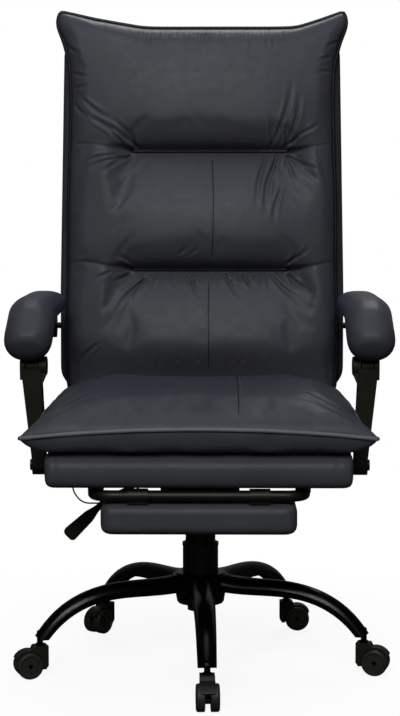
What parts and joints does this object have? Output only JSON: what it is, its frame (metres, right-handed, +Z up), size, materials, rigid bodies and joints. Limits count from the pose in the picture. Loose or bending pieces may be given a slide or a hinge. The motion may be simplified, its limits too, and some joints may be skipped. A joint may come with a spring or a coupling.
{
  "type": "reclining office chair",
  "caption": "High-backed reclining office chair on casters with gas lift, linked arms and a pull-out, fold-over padded footrest.",
  "frame": {"origin": "on the floor, on the axis of the gas lift", "axes": "+Z up along the gas lift, the chair faces -Y, +X to the sitter's left"},
  "size_m": [0.6931, 0.6425, 1.2285],
  "materials": {
    "leather": "smooth coated upholstery leather, satin, blue-black",
    "gloss_black_steel": "gloss black stove enamel",
    "satin_black_steel": "satin black powder coat",
    "black_nylon": "moulded, fine matte texture",
    "wheel_nylon": "moulded, satin",
    "bright_steel": "ground or zinc plated steel",
    "blackened_steel": "black oxide, lightly oiled",
    "plywood": "bare birch plywood",
    "cable_sheath": "extruded vinyl sheath"
  },
  "bodies": {
    "base": {"base_star": "gloss_black_steel", "caster_stems": "blackened_steel", "column_tube": "satin_black_steel", "guide_bush": "black_nylon", "thrust_bearing": "bright_steel", "cover_outer": "black_nylon"},
    "swivel": {"piston_rod": "bright_steel", "retaining_clip": "bright_steel"},
    "cover": {"cover_middle": "black_nylon"},
    "seat": {"gas_cylinder": "bright_steel", "cover_inner": "black_nylon", "mechanism_plate": "satin_black_steel", "recline_cable": "cable_sheath", "recline_lock": "satin_black_steel", "seat_board": "plywood", "seat_base_pad": "leather", "seat_cushion": "leather", "seat_bolts": "blackened_steel", "seat_side_plates": "satin_black_steel", "hinge_pins": "blackened_steel", "footrest_guides": "satin_black_steel"},
    "valve": {"valve_button": "bright_steel"},
    "rocker": {"lever_rocker": "satin_black_steel"},
    "lever": {"lever_rod": "satin_black_steel", "lever_paddle": "black_nylon"},
    "backrest": {"back_shell": "leather", "back_board": "plywood", "back_arms": "satin_black_steel", "back_cushion": "leather", "arm_pivot_bolts": "blackened_steel"},
    "footrest_slide": {"footrest_frame": "satin_black_steel"},
    "footrest": {"footrest_board": "plywood", "footrest_cushion": "leather", "footrest_clips": "satin_black_steel"},
    "arm_post_left": {"arm_post_left": "black_nylon"},
    "arm_left": {"arm_bar_left": "black_nylon", "arm_pad_left": "leather"},
    "arm_post_right": {"arm_post_right": "black_nylon"},
    "arm_right": {"arm_bar_right": "black_nylon", "arm_pad_right": "leather"},
    "caster_1": {"caster_1_housing": "black_nylon", "caster_1_axle": "blackened_steel"},
    "caster_1_wheel_left": {"caster_1_wheel_left": "wheel_nylon"},
    "caster_1_wheel_right": {"caster_1_wheel_right": "wheel_nylon"},
    "caster_2": {"caster_2_housing": "black_nylon", "caster_2_axle": "blackened_steel"},
    "caster_2_wheel_left": {"caster_2_wheel_left": "wheel_nylon"},
    "caster_2_wheel_right": {"caster_2_wheel_right": "wheel_nylon"},
    "caster_3": {"caster_3_housing": "black_nylon", "caster_3_axle": "blackened_steel"},
    "caster_3_wheel_left": {"caster_3_wheel_left": "wheel_nylon"},
    "caster_3_wheel_right": {"caster_3_wheel_right": "wheel_nylon"},
    "caster_4": {"caster_4_housing": "black_nylon", "caster_4_axle": "blackened_steel"},
    "caster_4_wheel_left": {"caster_4_wheel_left": "wheel_nylon"},
    "caster_4_wheel_right": {"caster_4_wheel_right": "wheel_nylon"},
    "caster_5": {"caster_5_housing": "black_nylon", "caster_5_axle": "blackened_steel"},
    "caster_5_wheel_left": {"caster_5_wheel_left": "wheel_nylon"},
    "caster_5_wheel_right": {"caster_5_wheel_right": "wheel_nylon"}
  },
  "joints": [
    {"name": "seat_swivel", "type": "hinge", "parent": "base", "child": "swivel", "pos_m": [0, 0, 0.1], "axis": [0, 0, 1], "continuous": true},
    {"name": "seat_height", "type": "slide", "parent": "swivel", "child": "seat", "axis": [0, 0, 1], "range_m": [0, 0.08]},
    {"name": "cover_slide", "type": "slide", "parent": "swivel", "child": "cover", "axis": [0, 0, 1], "range_m": [0, 0.04]},
    {"name": "lever_lift", "type": "hinge", "parent": "seat", "child": "rocker", "pos_m": [-0.045, -0.06, 0.346], "axis": [0, 1, 0], "range_deg": [0, 5], "stiffness_Nm_per_rad": 4, "springref_deg": -6.88},
    {"name": "valve_press", "type": "slide", "parent": "seat", "child": "valve", "axis": [0, 0, 1], "range_m": [-0.0045, 0]},
    {"name": "lever_pull", "type": "slide", "parent": "rocker", "child": "lever", "axis": [-1, 0, 0], "range_m": [0, 0.012]},
    {"name": "back_recline", "type": "hinge", "parent": "seat", "child": "backrest", "pos_m": [0, 0.245, 0.437], "axis": [-1, 0, 0], "range_deg": [0, 40]},
    {"name": "footrest_pull", "type": "slide", "parent": "seat", "child": "footrest_slide", "axis": [0, -1, 0], "range_m": [0, 0.28]},
    {"name": "footrest_flip", "type": "hinge", "parent": "footrest_slide", "child": "footrest", "pos_m": [0, -0.25, 0.354], "axis": [-1, 0, 0], "range_deg": [0, 180]},
    {"name": "post_left", "type": "hinge", "parent": "seat", "child": "arm_post_left", "pos_m": [0.29, -0.11, 0.388], "axis": [-1, 0, 0], "range_deg": [0, 40]},
    {"name": "arm_left", "type": "hinge", "parent": "backrest", "child": "arm_left", "pos_m": [0.29, 0.225, 0.617], "axis": [-1, 0, 0], "range_deg": [-40, 0]},
    {"name": "post_right", "type": "hinge", "parent": "seat", "child": "arm_post_right", "pos_m": [-0.29, -0.11, 0.388], "axis": [-1, 0, 0], "range_deg": [0, 40]},
    {"name": "arm_right", "type": "hinge", "parent": "backrest", "child": "arm_right", "pos_m": [-0.29, 0.225, 0.617], "axis": [-1, 0, 0], "range_deg": [-40, 0]},
    {"name": "caster_1_swivel", "type": "hinge", "parent": "base", "child": "caster_1", "pos_m": [0.01514, -0.30963, 0.058], "axis": [0, 0, 1], "continuous": true},
    {"name": "caster_1_spin_left", "type": "hinge", "parent": "caster_1", "child": "caster_1_wheel_left", "pos_m": [0.01622, -0.3316, 0.024], "axis": [0.9988, 0.0488, 0], "continuous": true},
    {"name": "caster_1_spin_right", "type": "hinge", "parent": "caster_1", "child": "caster_1_wheel_right", "pos_m": [0.01622, -0.3316, 0.024], "axis": [0.9988, 0.0488, 0], "continuous": true},
    {"name": "caster_2_swivel", "type": "hinge", "parent": "base", "child": "caster_2", "pos_m": [0.29916, -0.08128, 0.058], "axis": [0, 0, 1], "continuous": true},
    {"name": "caster_2_spin_left", "type": "hinge", "parent": "caster_2", "child": "caster_2_wheel_left", "pos_m": [0.32039, -0.08705, 0.024], "axis": [0.2622, 0.965, 0], "continuous": true},
    {"name": "caster_2_spin_right", "type": "hinge", "parent": "caster_2", "child": "caster_2_wheel_right", "pos_m": [0.32039, -0.08705, 0.024], "axis": [0.2622, 0.965, 0], "continuous": true},
    {"name": "caster_3_swivel", "type": "hinge", "parent": "base", "child": "caster_3", "pos_m": [0.16974, 0.2594, 0.058], "axis": [0, 0, 1], "continuous": true},
    {"name": "caster_3_spin_left", "type": "hinge", "parent": "caster_3", "child": "caster_3_wheel_left", "pos_m": [0.19174, 0.2594, 0.024], "axis": [0, 1, 0], "continuous": true},
    {"name": "caster_3_spin_right", "type": "hinge", "parent": "caster_3", "child": "caster_3_wheel_right", "pos_m": [0.19174, 0.2594, 0.024], "axis": [0, 1, 0], "continuous": true},
    {"name": "caster_4_swivel", "type": "hinge", "parent": "base", "child": "caster_4", "pos_m": [-0.19425, 0.24159, 0.058], "axis": [0, 0, 1], "continuous": true},
    {"name": "caster_4_spin_left", "type": "hinge", "parent": "caster_4", "child": "caster_4_wheel_left", "pos_m": [-0.20718, 0.2238, 0.024], "axis": [0.809, -0.5878, 0], "continuous": true},
    {"name": "caster_4_spin_right", "type": "hinge", "parent": "caster_4", "child": "caster_4_wheel_right", "pos_m": [-0.20718, 0.2238, 0.024], "axis": [0.809, -0.5878, 0], "continuous": true},
    {"name": "caster_5_swivel", "type": "hinge", "parent": "base", "child": "caster_5", "pos_m": [-0.2898, -0.11008, 0.058], "axis": [0, 0, 1], "continuous": true},
    {"name": "caster_5_spin_left", "type": "hinge", "parent": "caster_5", "child": "caster_5_wheel_left", "pos_m": [-0.31036, -0.1179, 0.024], "axis": [0.3551, -0.9348, 0], "continuous": true},
    {"name": "caster_5_spin_right", "type": "hinge", "parent": "caster_5", "child": "caster_5_wheel_right", "pos_m": [-0.31036, -0.1179, 0.024], "axis": [0.3551, -0.9348, 0], "continuous": true}
  ],
  "couplings": [
    {"joint": "cover_slide", "follows": "seat_height", "ratio": 0.5},
    {"joint": "valve_press", "follows": "lever_lift", "m_per_rad": -0.05},
    {"joint": "footrest_flip", "follows": "footrest_pull", "rad_per_m": 11.2},
    {"joint": "post_left", "follows": "back_recline", "ratio": 1},
    {"joint": "arm_left", "follows": "back_recline", "ratio": -1},
    {"joint": "post_right", "follows": "back_recline", "ratio": 1},
    {"joint": "arm_right", "follows": "back_recline", "ratio": -1}
  ]
}
